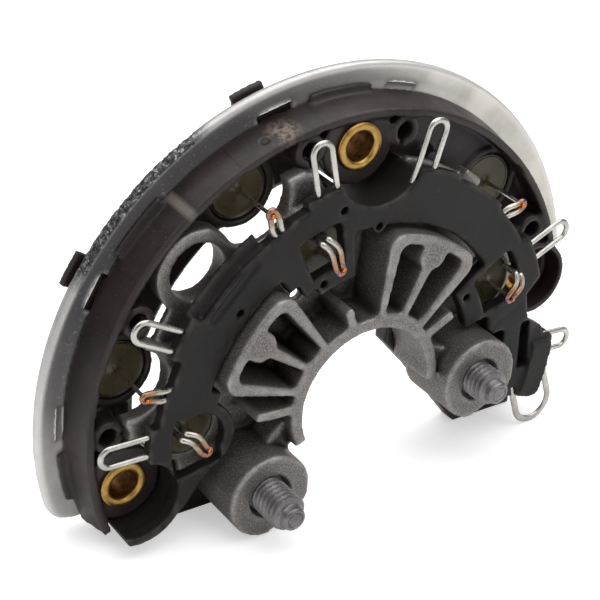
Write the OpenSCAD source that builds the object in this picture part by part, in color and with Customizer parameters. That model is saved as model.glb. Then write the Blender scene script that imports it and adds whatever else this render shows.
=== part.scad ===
// Alternator rectifier: a horseshoe of parts stacked along the ring axis.
// Built lying flat, front up, with the ring axis on Z, then stood on its two legs.
// A place on the ring is given as a radius and an angle, 90 degrees at the top.

/* [Stance] */
// turn of the horseshoe about its axis that levels both legs
stance_turn = 4; // [3:0.5:5]

/* [Rear plate] */
// outer radius of the rear plate
rim_r = 66; // [65:0.5:68]
// inner radius of the rear plate
plate_in_r = 44.6; // [44:0.1:45]
// height of the flat part of the front face
plate_h = 1.9; // [1.6:0.1:2.1]
// height of the raised outer edge
rim_h = 2.5; // [2.3:0.1:3]
// how far the back stands behind the rim
plate_back = 1.2; // [0.8:0.1:2]
// radius of the ring in which the rear row of diodes sits
outer_row_r = 51.3; // [51:0.1:51.6]
// radius of the sleeve round each rear diode
diode_boss_r = 7.9; // [7.4:0.1:8.1]

/* [Diodes] */
// radius of a pressed in diode can
can_r = 6.35; // [6.2:0.05:6.4]
// height of a diode can
can_h = 5.4; // [5.2:0.1:5.6]
// rim width of a can round its filling
can_rim = 0.7; // [0.5:0.1:1]
// depth of the filling below the can rim
fill_drop = 0.3; // [0.2:0.05:0.5]
// radius of a diode lead
lead_r = 0.42; // [0.35:0.01:0.5]

/* [Insulator ring] */
// outer radius of the insulator wall at its foot
wall_r = 60.4; // [60.2:0.1:60.8]
// outer radius of the insulator wall at its front edge
wall_top_r = 58.9; // [58.7:0.1:59.2]
// height of the front edge of the wall
wall_h = 9.8; // [9.2:0.1:10.4]
// thickness of the wall
wall_t = 1.6; // [1.3:0.1:1.8]
// thickness of the floor of the ring
floor_t = 2.1; // [1.8:0.1:2.3]

/* [Fixing bushings] */
// radius of the ring in which the three bushings sit
bush_row_r = 51.8; // [51.5:0.1:52.1]
// bore radius of a bushing
bush_bore_r = 3.25; // [3.2:0.05:3.4]
// radius of the bushing barrel
bush_barrel_r = 4.3; // [4.2:0.05:4.4]
// radius of the bushing flange
bush_flange_r = 5.15; // [5:0.05:5.4]
// height of the bushing flange face
bush_top = 9.9; // [9.6:0.1:10.2]
// thickness of the bushing flange
bush_flange_t = 1; // [0.8:0.1:1.2]
// height of the flange face of the right bushing, which sits deeper
right_bush_top = 6.2; // [6:0.1:6.6]
// outer radius of the cup round the right bushing
cup_r = 8.6; // [8.4:0.05:8.7]
// height of the rim of that cup
cup_top = 10.6; // [10:0.1:11]
// wall of that cup
cup_wall = 1.1; // [0.9:0.1:1.3]

/* [Terminal plate] */
// height of the front face of the terminal plate
term_h = 16.5; // [16.2:0.1:16.8]
// thickness of the terminal plate
term_t = 3; // [2.8:0.1:3.2]
// outer radius of a screw well
well_r = 10.2; // [9.9:0.1:10.4]
// inner radius of a screw well
well_in_r = 8.5; // [8.4:0.1:8.7]
// depth of the long recess beside the left window
strip_depth = 0.5; // [0.3:0.1:0.8]
// depth of the groove in the right end block
groove_depth = 4; // [3:0.5:5]

/* [Casting] */
// height of the back of the casting
cast_back = 7.5; // [7.3:0.1:7.7]
// height of the face of the casting web
web_h = 9.4; // [9.2:0.1:9.6]
// height of the fins and of the inner ring
fin_h = 19.4; // [18.8:0.1:20]
// inner radius of the inner ring
ring_in_r = 15.5; // [15:0.1:16]
// outer radius of the inner ring
ring_out_r = 18.2; // [17.8:0.1:18.6]
// outer radius of the two fans
fan_r = 36.2; // [35.8:0.1:36.5]
// thickness of the outer wall of a fan
fan_wall = 2.3; // [2:0.1:2.6]
// thickness of a fan rib
rib_t = 2.3; // [2:0.1:2.6]
// radius of the round pad on the middle rib
pad_r = 3.3; // [3:0.1:3.5]
// radius of the hole in the ring lug
lug_hole_r = 6.05; // [5.9:0.05:6.2]
// outer radius of the ring lug
lug_r = 8.9; // [8.6:0.1:9]
// height of the raised pads that carry the terminal plate
pad_h = 11.4; // [11:0.1:12]
// height of a stud boss
boss_h = 22; // [21:0.5:23]
// radius of a stud boss
boss_r = 9.3; // [9:0.1:9.6]
// radius of the ring in which the studs stand
stud_row_r = 28.4; // [28:0.1:28.8]

/* [Studs] */
// thread radius of a stud
stud_r = 3.95; // [3.9:0.05:4]
// length of the left stud in front of its boss
stud_left_len = 9; // [8:0.5:11]
// length of the right stud in front of its boss
stud_right_len = 6.5; // [6:0.5:9]
// radius of the plain tip of a stud
tip_r = 2.6; // [2.4:0.1:2.8]
// length of the plain tip of a stud
tip_len = 2; // [1.5:0.1:2.5]
// width of the recess round the shank of a stud
recess_w = 0.5; // [0.4:0.1:0.8]

/* [Wires] */
// radius of the wire of a stator loop
wire_r = 0.56; // [0.5:0.01:0.6]
// half the distance between the legs of a loop
loop_half = 2.15; // [2:0.05:2.3]
// radius at which the loops end
loop_tip_r = 58.9; // [58:0.1:59.5]
// half the distance between the legs of a lead hook
hook_half = 0.95; // [0.9:0.05:1.1]
// radius of the wire of a lead hook
hook_wire_r = 0.48; // [0.4:0.01:0.5]
// outer radius of the eye that hangs below the right end
eye_r = 5.4; // [5.2:0.1:5.5]
// width of its strip
eye_strip = 1.6; // [1.4:0.1:1.7]
// thickness of its strip
eyelet_t = 0.9; // [0.7:0.05:1]

/* [Hidden] */
fine = 96;
mid = 48;
low = 20;
far = 200;
slack = 0.1;
press_slack = 0.02;
rim_start = 10;
left_cut = -17;
left_fillet = 7;
left_fillet_x = -(rim_r - left_fillet - 0.8);
right_fillet = 6;
right_fillet_a = 9.5;
right_cut_drop = 6;
leg_out_r = 57;
leg_end_a = -34;
wall_start = 12;
wall_end = 197.5;
term_back = term_h - term_t;
floor_h = plate_h + floor_t;
can_top = floor_h + 0.1;
sleeve_top = can_top + 0.5;
inner_can_top = web_h + 0.9;
outer_angles = [36.9, 113.5, 161.6];
inner_spots = [[38.9, 15.8], [33, 101], [37.5, 177]];
bush_angles = [6.8, 85.3, 187.9];
loop_angles = [21, 70.8, 98.6, 147.6, 174.6];
loop_starts = [46.4, 45.6, 45.8, 46, 46.4];
end_loop_a = 351.6;
end_loop_start = 50;
tube_angles = [20, 73.5, 97.5, 148, 174.5];
tube_row_r = 54;
tube_r = 3.4;
tube_bore_r = 1.9;
tube_top = wall_h - 0.4;
tube_slit = 1.2;
stud_angles = [208.2, 349.6];
stud_left_x = stud_row_r * cos(stud_angles[0] + stance_turn);
stud_left_z = stud_row_r * sin(stud_angles[0] + stance_turn);
floor_level = boss_r - stud_left_z;
depth_front = boss_h + stud_left_len;
hook_back = 1.4;
depth_back = plate_back + hook_back;
x_left = -rim_r;
x_right = (rim_r - right_fillet) * cos(right_fillet_a + stance_turn) + right_fillet;
shift_x = -(x_left + x_right) / 2;
shift_y = (depth_front - depth_back) / 2;
fan_corner = 4;
cell_corner = 2.2;
left_fan = [120.6, 159.4];
right_fan = [39.4, 80.8];
stub_t = 2;
shank_len = 10;
shank_r = stud_r + 0.35;
shank_drop = 0.2;
// neck between the shank and the thread of a stud
neck_r = stud_r - 0.35;
neck_rise = 0.2;
recess_d = 1.5;
// flat side of each boss: distance from the stud and turn
boss_flat = 7.6;
boss_flat_turns = [-61, -69];
chamfer = 0.8;
can_cup = 1.5;
socket_r = 8.3;
lug_spot_r = 48.1;
lug_spot_a = 132.7;
slot_half = 3.7;
slot_in_r = wall_r - 1.8;
slot_out_r = wall_r + 1.3;
pocket_angles = [71.4, 173.6];
// the two snap hooks: angle of the slot, of the stem in it and of the tab behind the rim
snaps = [[99.9, 101.3, 102.8], [146.8, 145.9, 145]];
stem_half = 1.8;
tab_half = 3.2;
// stretches where the foot of the wall stands out over the plate
foot_lips = [[79, 92.5], [126.5, 139], [180, 191]];
sleeve_r = 8.3;
floor_in_r = plate_in_r + 2;
root_h = floor_h - 1;
well_limit_r = 56.9;
// screw well at the top, a little off its bushing
top_well_r = 52.3;
top_well_a = 83.8;
top_well_in = 10.5;
top_well_out = 11.9;
block_back = cast_back + 1;
block_rise = 0.9;
seam_depth = 0.4;
// blind pin holes in the front of the terminal plate: radius and angle
pin_holes = [[43.2, 95.2], [37.2, 83], [39.4, 134.6], [29.4, 107], [30.4, 24.5]];
pin_hole_r = 0.85;
low_hook_h = term_h - 1.2;
high_hook_h = term_h + 1.9;
low_lead_h = low_hook_h + 1.7;
high_lead_h = high_hook_h + 1.6;
eyelet_h = term_h - 1.2;
eye_x = 50.4;
eye_lean = 19;
eye_leg = 8.2;

// Stands the flat built part on its legs, front towards -Y.
module place() {
    translate([shift_x, shift_y, floor_level])
        rotate([90, 0, 0])
            rotate([0, 0, stance_turn])
                children();
}

// Moves a shape to a place on the ring and turns it to point outwards.
module at(r, a) {
    rotate([0, 0, a])
        translate([r, 0, 0])
            children();
}

// Flat wedge between two angles.
module wedge(a0, a1) {
    steps = 6;
    rim = [for (i = [0 : steps]) let (a = a0 + (a1 - a0) * i / steps) [far * cos(a), far * sin(a)]];
    polygon(concat([[0, 0]], rim));
}

// Flat ring between two radii and two angles.
module sector(r0, r1, a0, a1) {
    intersection() {
        difference() {
            circle(r = r1, $fn = fine);
            circle(r = r0, $fn = fine);
        }
        wedge(a0, a1);
    }
}

// Sector whose two outer corners are rounded by circles that cross its edges at a small angle.
module soft_sector(r0, r1, a0, a1, q) {
    c = 0.96 * q;
    d = asin(c / (r1 - c));
    difference() {
        sector(r0, r1, a0, a1);
        at(r1 - c, a0 + d) difference() {
            translate([0, -2 * q]) square([2 * q, 2 * q]);
            circle(r = q, $fn = mid);
        }
        at(r1 - c, a1 - d) difference() {
            square([2 * q, 2 * q]);
            circle(r = q, $fn = mid);
        }
    }
}

// Everything above the standing level, with a rise.
module above_floor(rise) {
    rotate(-stance_turn)
        translate([-far / 2, rise - floor_level])
            square([far, far]);
}

// Straight bar between two polar places.
module bar(r1, a1, r2, a2, w) {
    p = [r1 * cos(a1), r1 * sin(a1)];
    q = [r2 * cos(a2), r2 * sin(a2)];
    n = norm(q - p);
    u = (q - p) / n;
    v = [-u[1], u[0]] * w / 2;
    polygon([p - v, q - v, q + v, p + v]);
}

// Outline of the rear plate without its holes.
module plate_outline() {
    sector(plate_in_r, rim_r, rim_start, 188);
    intersection() {
        sector(plate_in_r, rim_r, 187, 202);
        union() {
            translate([-far, left_cut + left_fillet]) square([far, far]);
            translate([left_fillet_x, left_cut]) square([far, far]);
            translate([left_fillet_x, left_cut + left_fillet]) circle(r = left_fillet, $fn = mid);
        }
    }
    intersection() {
        sector(plate_in_r, rim_r, -8, rim_start + 1);
        union() {
            at(rim_r - right_fillet, right_fillet_a) circle(r = right_fillet, $fn = mid);
            translate([0, (rim_r - right_fillet) * sin(right_fillet_a) - right_cut_drop])
                square([(rim_r - right_fillet) * cos(right_fillet_a), far / 2]);
        }
    }
    intersection() {
        sector(plate_in_r, leg_out_r, leg_end_a, 12);
        above_floor(0.8);
    }
    for (a = outer_angles)
        at(outer_row_r, a) circle(r = diode_boss_r, $fn = mid);
}

// Rear plate: machined annulus with a raised edge, seats of the rear diodes, bores and slots.
module negative_plate() {
    in_r = plate_in_r - 4.6;
    color([0.72, 0.71, 0.7])
    difference() {
        intersection() {
            rotate_extrude($fn = fine)
                polygon([[in_r, -plate_back], [rim_r - 2, -plate_back], [rim_r - 0.6, -0.2], [rim_r, 0.7],
                    [rim_r, rim_h - 0.5], [rim_r - 0.5, rim_h], [slot_out_r, plate_h], [in_r, plate_h]]);
            translate([0, 0, -5]) linear_extrude(height = 20) plate_outline();
        }
        for (a = outer_angles)
            at(outer_row_r, a)
                translate([0, 0, -5]) cylinder(r = can_r + press_slack, h = 20, $fn = mid);
        for (a = bush_angles)
            at(bush_row_r, a)
                translate([0, 0, -5]) cylinder(r = bush_barrel_r + slack, h = 20, $fn = mid);
        for (s = snaps)
            translate([0, 0, -5]) linear_extrude(height = 20)
                sector(slot_in_r, slot_out_r - slack, s[0] - slot_half, s[0] + slot_half);
        for (a = pocket_angles)
            translate([0, 0, plate_h - 0.8]) linear_extrude(height = 5)
                sector(slot_in_r + 0.8, slot_out_r - slack, a - slot_half, a + slot_half);
    }
}

// Webs of the insulator ring that carry the two ends of the casting.
module ring_webs() {
    intersection() {
        union() {
            polygon([[13.4, 1.5], [20.4, -7.8], [34, -28], [50, -32], [48, -10], [46.5, -5.2],
                [41, 1], [40, 3], [31, 3], [26, 6.8], [14, 6.8]]);
            polygon([[-40.4, -17], [-37.5, -28], [-31, -28], [-24, -14], [-30, -6], [-40.4, -5.6]]);
        }
        above_floor(0);
    }
}

// Insulator ring: outer wall, floor, wire tubes, snap hooks and leg webs.
module insulator_ring() {
    color([0.16, 0.13, 0.13])
    difference() {
        union() {
            rotate([0, 0, wall_start])
                rotate_extrude(angle = wall_end - wall_start, $fn = fine)
                    polygon([[floor_in_r, plate_h], [wall_r, plate_h],
                        [wall_top_r, wall_h], [wall_top_r - wall_t, wall_h],
                        [wall_r - wall_t - 0.6, floor_h], [floor_in_r, floor_h]]);
            translate([0, 0, plate_h + slack]) linear_extrude(height = floor_t - 2 * slack) intersection() {
                sector(floor_in_r - 1.2, leg_out_r - 0.6, leg_end_a, wall_start + 1);
                above_floor(0);
            }
            translate([0, 0, floor_h - 0.8]) linear_extrude(height = cast_back - floor_h + 0.8) ring_webs();
            translate([0, 0, plate_h + 1.5 * slack]) linear_extrude(height = floor_t - 3 * slack)
                polygon([[-49, -12.6], [-38.6, -17.5], [-36, -14], [-38, -7], [-47.5, -4.5]]);
            for (a = tube_angles)
                at(tube_row_r, a) translate([0, 0, root_h])
                    cylinder(r = tube_r, h = tube_top - root_h, $fn = low);
            at(48.6, 60) translate([0, 0, root_h]) cylinder(r = 1.9, h = cast_back - root_h, $fn = low);
            for (l = foot_lips)
                translate([0, 0, plate_h + 1.2 * slack])
                    linear_extrude(height = 0.9) sector(wall_r - 1, wall_r + 1.4, l[0], l[1]);
            for (a = outer_angles)
                at(outer_row_r, a) translate([0, 0, plate_h + 1.5 * slack])
                    cylinder(r = diode_boss_r, h = sleeve_top - plate_h - 1.5 * slack, $fn = mid);
            intersection() {
                for (i = [1, 2])
                    at(bush_row_r, bush_angles[i]) translate([0, 0, root_h])
                        cylinder(r = sleeve_r, h = bush_top - bush_flange_t - root_h, $fn = mid);
                cylinder(r = wall_top_r - 0.5, h = 30, $fn = fine);
            }
            at(bush_row_r, bush_angles[0]) translate([0, 0, plate_h + 2.5 * slack])
                cylinder(r = cup_r, h = cup_top - plate_h - 2.5 * slack, $fn = mid);
            for (s = snaps) {
                translate([0, 0, -depth_back + 0.1]) linear_extrude(height = depth_back + floor_h - 0.5)
                    sector(wall_r - 1.6, wall_r - 0.2, s[1] - stem_half, s[1] + stem_half);
                translate([0, 0, -depth_back]) linear_extrude(height = hook_back)
                    sector(wall_r - 1.7, rim_r + 0.2, s[2] - tab_half, s[2] + tab_half);
            }
        }
        for (a = tube_angles)
            at(tube_row_r, a) {
                translate([0, 0, floor_h]) cylinder(r = tube_bore_r, h = 20, $fn = low);
                translate([-tube_r - 1, -tube_slit / 2, floor_h + 1.5]) cube([tube_r + 1, tube_slit, 20]);
            }
        for (a = outer_angles)
            at(outer_row_r, a) translate([0, 0, -5]) cylinder(r = can_r + 1.5 * slack, h = 20, $fn = mid);
        at(bush_row_r, bush_angles[0]) translate([0, 0, right_bush_top - bush_flange_t])
            cylinder(r = cup_r - cup_wall, h = 20, $fn = mid);
        for (s = inner_spots)
            at(s[0], s[1]) {
                translate([0, 0, cast_back - 0.2]) cylinder(r = socket_r + slack, h = 20, $fn = mid);
                translate([0, 0, floor_h + slack]) cylinder(r = can_r + 3 * slack, h = 20, $fn = mid);
            }
        for (a = bush_angles)
            at(bush_row_r, a) translate([0, 0, -5]) cylinder(r = bush_barrel_r + slack, h = 40, $fn = mid);
    }
}

// Polygon through places given as radius and angle.
module polar_polygon(places) {
    polygon([for (p = places) px(p[0], p[1])]);
}

// Outline of the terminal plate without windows.
module term_outline() {
    difference() {
        union() {
            sector(37.4, 49.3, 13, 27);
            polar_polygon([[43, 14.5], [49.2, 14.5], [48.9, 12.8], [45.3, 10.1], [43, 9]]);
            sector(37.4, 47.3, 26, 43);
            sector(37.4, 48.2, 42, 61);
            sector(37.4, 49, 60, 95);
            sector(27.4, 48.3, 92, 104.8);
            sector(27.4, 46.6, 103, 110);
            sector(29.5, 46.2, 109, 116);
            sector(33, 46, 115, 119.8);
            sector(36.9, 46, 119.2, 163);
            sector(38, 48.7, 141, 152);
            sector(34.5, 46.9, 160, 172);
            sector(36, 48.8, 170, 188);
            at(38, 176.5) circle(r = 8.2, $fn = mid);
            sector(28.4, 44, 10, 30.5);
            sector(34.2, 45.1, 1, 13.6);
            sector(38.6, 45.4, -23.5, 3);
            polygon([[-31, -1], [-37.5, -7.5], [-42, -12.5], [-50, -14], [-48, 0]]);
            well_disc();
            polar_polygon([[43.6, 3.4], [44.9, 2.6], [46.4, 0.3], [49.5, -2.3], [50.8, -5.6], [43.6, -5.6]]);
            at(37.2, 83) circle(r = 1.4, $fn = low);
            soft_sector(43.2, 53.5, -23.4, -5, 2.4);
        }
        at(top_well_r, top_well_a) circle(r = top_well_in, $fn = mid);
        at(bush_row_r, bush_angles[2]) circle(r = well_in_r, $fn = mid);
        at(stud_row_r, stud_angles[1]) circle(r = boss_r + 0.3, $fn = mid);
    }
}

// Windows over the three front diodes.
module term_windows() {
    soft_sector(31.6, 41.1, 96.4, 110.4, 1);
    at(38, 176.5) circle(r = 5.9, $fn = mid);
    sector(38, 43.8, 168.5, 181.5);
    sector(33, 43.8, 178, 187);
    soft_sector(33.4, 44, 11.8, 28.4, 1.5);
}

// Disc of the left screw well, open towards the rim.
module well_disc() {
    at(bush_row_r, bush_angles[2])
        rotate(-bush_angles[2])
            intersection() {
                circle(r = well_r, $fn = mid);
                wedge(205, 412);
                translate(-px(bush_row_r, bush_angles[2])) circle(r = well_limit_r, $fn = fine);
            }
}

// Wall of the left screw well below the plate, a little wider inside than the plate's own edge.
module well_walls() {
    difference() {
        well_disc();
        at(bush_row_r, bush_angles[2]) circle(r = well_in_r + slack, $fn = mid);
    }
}

// Terminal plate: flat front arc, screw wells, bushing sleeves, ledge and end block.
module terminal_plate() {
    color([0.25, 0.23, 0.22])
    difference() {
        union() {
            translate([0, 0, term_back]) linear_extrude(height = term_t) difference() {
                term_outline();
                term_windows();
            }
            translate([0, 0, term_back]) linear_extrude(height = 1.2)
                sector(44, 49, 118.6, 141.5);
            translate([0, 0, floor_h]) linear_extrude(height = term_back - floor_h + 0.5) difference() {
                well_walls();
                at(inner_spots[2][0], inner_spots[2][1]) circle(r = socket_r + slack, $fn = mid);
            }
            at(top_well_r, top_well_a)
                translate([0, 0, floor_h]) linear_extrude(height = term_back - floor_h + 0.6)
                    rotate(-top_well_a) difference() {
                        intersection() {
                            circle(r = top_well_out, $fn = mid);
                            wedge(206, 326);
                        }
                        circle(r = top_well_in, $fn = mid);
                    }
            at(bush_row_r, bush_angles[0])
                translate([0, 0, floor_h]) linear_extrude(height = term_back - floor_h + 0.5)
                    rotate(-bush_angles[0]) difference() {
                        intersection() {
                            circle(r = well_r, $fn = mid);
                            wedge(200, 250);
                        }
                        circle(r = cup_r + 2 * slack, $fn = mid);
                    }
            translate([0, 0, block_back]) linear_extrude(height = term_back + 1 - block_back)
                soft_sector(43.8, 53.1, -23, -5.6, 2.2);
            translate([0, 0, term_h - 1]) linear_extrude(height = block_rise + 1)
                soft_sector(47.2, 52.8, -22.6, -6.6, 2);
        }
        for (s = pin_holes)
            at(s[0], s[1]) translate([0, 0, term_back + 1]) cylinder(r = pin_hole_r, h = 20, $fn = low);
        translate([0, 0, term_h - strip_depth]) linear_extrude(height = 5)
            bar(44.9, 121.6, 44.3, 140.4, 2.2);
        at(41, 144) translate([0, 0, term_h - 0.3]) difference() {
            cylinder(r = 3.3, h = 5, $fn = mid);
            cylinder(r = 2.6, h = 5, $fn = mid);
        }
        translate([0, 0, term_h - seam_depth]) linear_extrude(height = 5) {
            bar(42, 90.8, 33, 88, 0.5);
            bar(34.5, 4.6, 44, 8.2, 0.5);
        }
        translate([0, 0, term_h - groove_depth + block_rise]) linear_extrude(height = 20)
            bar(44.8, 0.8, 45.9, -14.3, 2.6);
        for (i = [0 : len(loop_angles) - 1])
            loop_pockets(loop_angles[i], loop_starts[i]);
        loop_pockets(end_loop_a, end_loop_start);
        hook_pockets();
        eyelet_pocket();
    }
}

// Holes in the terminal plate for the two legs of a loop.
module loop_pockets(a, start) {
    rotate([0, 0, a])
        for (s = [-1, 1])
            translate([start, s * loop_half, loop_h()])
                rotate([0, 90, 0]) cylinder(r = wire_r + slack, h = 12, $fn = low);
}

function loop_h() = term_h - 1.2;

// U shaped wire loop lying in the terminal plate and pointing outwards.
module wire_loop(a, start, tip, half, r) {
    rotate([0, 0, a])
        translate([0, 0, loop_h()]) {
            for (s = [-1, 1])
                translate([start, s * half, 0])
                    rotate([0, 90, 0]) cylinder(r = r, h = tip - half - start, $fn = low);
            translate([tip - half, 0, 0]) rotate([0, 0, -90])
                rotate_extrude(angle = 180, $fn = mid) translate([half, 0]) circle(r = r, $fn = low);
        }
}

module stator_loop(i) {
    color([0.85, 0.84, 0.8]) wire_loop(loop_angles[i], loop_starts[i], loop_tip_r, loop_half, wire_r);
}

module end_loop() {
    color([0.85, 0.84, 0.8]) wire_loop(end_loop_a, end_loop_start, loop_tip_r, loop_half, wire_r);
}

// Ends of the hooks: start radius, start angle, lead radius, lead angle, height of the loop.
hooks = [
    [45.2, 113.2, outer_row_r, outer_angles[1], low_hook_h],
    [44.9, 160.2, outer_row_r, outer_angles[2], low_hook_h],
    [46.2, 38.4, outer_row_r, outer_angles[0], low_hook_h],
    [39.9, 103.8, inner_spots[1][0], inner_spots[1][1], high_hook_h],
    [42.3, 172, inner_spots[2][0], inner_spots[2][1], high_hook_h],
    [42.8, 20.5, inner_spots[0][0], inner_spots[0][1], high_hook_h]];

function px(r, a) = [r * cos(a), r * sin(a)];

// Narrow wire hook from its root to round the lead.
module lead_hook(i) {
    h = hooks[i];
    p = px(h[0], h[1]);
    q = px(h[2], h[3]);
    d = q - p;
    n = norm(d);
    color([0.75, 0.6, 0.5])
        translate([p[0], p[1], h[4]]) rotate([0, 0, atan2(d[1], d[0])]) {
            for (s = [-1, 1])
                translate([0, s * hook_half, 0])
                    rotate([0, 90, 0]) cylinder(r = hook_wire_r, h = n, $fn = low);
            translate([n, 0, 0]) rotate([0, 0, -90])
                rotate_extrude(angle = 180, $fn = low)
                    translate([hook_half, 0]) circle(r = hook_wire_r, $fn = low);
            if (h[4] > term_h)
                for (s = [-1, 1])
                    translate([hook_wire_r, s * hook_half, term_back - h[4] + 1])
                        cylinder(r = hook_wire_r, h = h[4] - term_back - 1, $fn = low);
        }
}

// Holes in the terminal plate for the roots of the hooks.
module hook_pockets() {
    for (h = hooks) {
        p = px(h[0], h[1]);
        q = px(h[2], h[3]);
        d = q - p;
        translate([p[0], p[1], h[4]]) rotate([0, 0, atan2(d[1], d[0])])
            for (s = [-1, 1])
                if (h[4] > term_h)
                    translate([hook_wire_r, s * hook_half, term_back - h[4] + 1])
                        cylinder(r = hook_wire_r + slack, h = 9, $fn = low);
                else
                    translate([0, s * hook_half, 0])
                        rotate([0, 90, 0]) cylinder(r = hook_wire_r + slack, h = 9, $fn = low);
    }
}

// Moves a shape to the centre of the eye, just above the standing level and leaning as the strip does.
module eye_place() {
    rotate(-stance_turn)
        translate([eye_x, eye_r + slack / 2 - floor_level])
            rotate(eye_lean)
                children();
}

// Flat strip bent to an eye, with its two legs.
module eyelet_shape() {
    in_r = eye_r - eye_strip;
    eye_place() difference() {
        union() {
            circle(r = eye_r, $fn = mid);
            translate([-eye_r, 0]) square([2 * eye_r, eye_leg]);
        }
        circle(r = in_r, $fn = mid);
        translate([-in_r, 0]) square([2 * in_r, 2 * eye_leg]);
    }
}

module eyelet_terminal() {
    color([0.85, 0.84, 0.8])
        translate([0, 0, eyelet_h]) linear_extrude(height = eyelet_t) eyelet_shape();
}

// Slots in the end block for the two legs of the eye.
module eyelet_pocket() {
    gap = slack / 2;
    translate([0, 0, eyelet_h - gap]) linear_extrude(height = eyelet_t + 2 * gap) eye_place()
        for (x = [-eye_r, eye_r - eye_strip])
            translate([x - gap, -eye_strip]) square([eye_strip + 2 * gap, eye_leg + eye_strip + gap]);
}

// Outline of the web of the casting.
module web_outline() {
    difference() {
        union() {
            sector(ring_in_r + 0.8, 48.6, 44, 186);
            sector(ring_in_r + 0.8, 41, 10, 46);
            sector(ring_in_r + 0.8, 36, -6, 12);
            sector(ring_in_r + 0.8, 40, 184, 198);
            at(lug_spot_r, lug_spot_a) circle(r = lug_r, $fn = mid);
            for (s = inner_spots)
                at(s[0], s[1]) circle(r = socket_r, $fn = mid);
            for (a = stud_angles)
                at(stud_row_r, a) circle(r = boss_r - 2.4, $fn = mid);
        }
        for (a = outer_angles)
            at(outer_row_r, a) circle(r = 9.4, $fn = mid);
        at(bush_row_r, bush_angles[0]) circle(r = well_r + 0.4, $fn = mid);
        at(top_well_r, top_well_a) circle(r = top_well_out + 0.3, $fn = mid);
        at(bush_row_r, bush_angles[2]) circle(r = well_r + 0.4, $fn = mid);
        at(25.2, 115) circle(r = 1.3, $fn = mid);
    }
}

// Cell of a fan between two angles, with its side ribs kept.
module cell(a0, a1) {
    r = (ring_out_r + fan_r) / 2;
    d = (rib_t / 2) * 180 / (PI * r);
    soft_sector(ring_out_r + 0.6, fan_r - fan_wall, a0 + d, a1 - d, cell_corner);
}

// Walls of one fan with two open cells.
module fan(lim) {
    am = (lim[0] + lim[1]) / 2;
    e = (rib_t / 2) * 180 / (PI * 27);
    difference() {
        soft_sector(ring_in_r + 0.6, fan_r, lim[0], lim[1], fan_corner);
        difference() {
            union() {
                cell(lim[0] + e, am);
                cell(am, lim[1] - e);
            }
            at(fan_r - 4, am) circle(r = pad_r, $fn = mid);
        }
    }
}

// Outline of the raised pads at the edge of the web, clear of the diodes, wells and wire tubes.
module pads() {
    difference() {
        union() {
            sector(44, 51.7, 94.5, 109);
            sector(43, 51.2, 151, 180);
            sector(44, 50, 46.5, 52.5);
        }
        for (a = outer_angles)
            at(outer_row_r, a) circle(r = diode_boss_r - 0.3, $fn = mid);
        at(top_well_r, top_well_a) circle(r = top_well_out + 0.3, $fn = mid);
        at(bush_row_r, bush_angles[2]) circle(r = well_r + 0.4, $fn = mid);
        for (a = tube_angles)
            at(tube_row_r, a) circle(r = tube_r + 0.3, $fn = low);
        for (s = inner_spots)
            at(s[0], s[1]) circle(r = socket_r + 0.2, $fn = mid);
    }
}

// Casting: web, inner ring, two fans, fin stubs, lugs, diode sockets and stud bosses.
module positive_casting() {
    color([0.55, 0.53, 0.52])
    difference() {
        union() {
            translate([0, 0, cast_back]) linear_extrude(height = web_h - cast_back) web_outline();
            translate([0, 0, cast_back]) linear_extrude(height = fin_h - cast_back)
                sector(ring_in_r, ring_out_r, -8, 200);
            translate([0, 0, web_h]) linear_extrude(height = fin_h - web_h) {
                fan(left_fan);
                fan(right_fan);
                bar(17, 100.5, 22.4, 101, stub_t);
                bar(17, 169.5, 26.6, 170.5, stub_t);
                bar(17, 31, 25, 28.5, stub_t);
            }
            for (s = inner_spots)
                at(s[0], s[1]) translate([0, 0, web_h - 0.5])
                    cylinder(r = socket_r - 0.3, h = 0.8, $fn = mid);
            translate([0, 0, cast_back]) linear_extrude(height = pad_h - cast_back) pads();
            at(lug_spot_r, lug_spot_a) translate([0, 0, floor_h + slack])
                cylinder(r = lug_r - 0.2, h = cast_back + 0.5 - floor_h, $fn = mid);
            translate([0, 0, cast_back]) linear_extrude(height = term_back - cast_back) {
                sector(43, 45.5, 101, 107.5);
                sector(40, 43.6, 152, 158);
                sector(41, 43.6, 47, 60);
            }
            for (i = [0, 1])
                at(stud_row_r, stud_angles[i])
                    rotate([0, 0, -stud_angles[i]])
                        translate([0, 0, cast_back]) linear_extrude(height = boss_h - cast_back)
                            intersection() {
                                circle(r = boss_r, $fn = mid);
                                rotate(boss_flat_turns[i])
                                    translate([boss_flat - far, -far / 2]) square([far, far]);
                            }
            translate([0, 0, cast_back]) linear_extrude(height = fin_h - 3 - cast_back) {
                bar(17.5, 4, 24, -4, 6);
                bar(17.5, 192, 24, 200, 6);
            }
        }
        for (s = inner_spots)
            at(s[0], s[1]) translate([0, 0, -5])
                cylinder(r = can_r + press_slack, h = web_h + 5.6, $fn = mid);
        at(lug_spot_r, lug_spot_a) translate([0, 0, -5]) cylinder(r = lug_hole_r, h = 30, $fn = mid);
        for (a = stud_angles)
            at(stud_row_r, a) {
                translate([0, 0, boss_h - shank_len]) cylinder(r = shank_r + press_slack, h = 20, $fn = mid);
                translate([0, 0, boss_h - recess_d]) cylinder(r = shank_r + recess_w, h = 20, $fn = mid);
            }
    }
}

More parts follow.
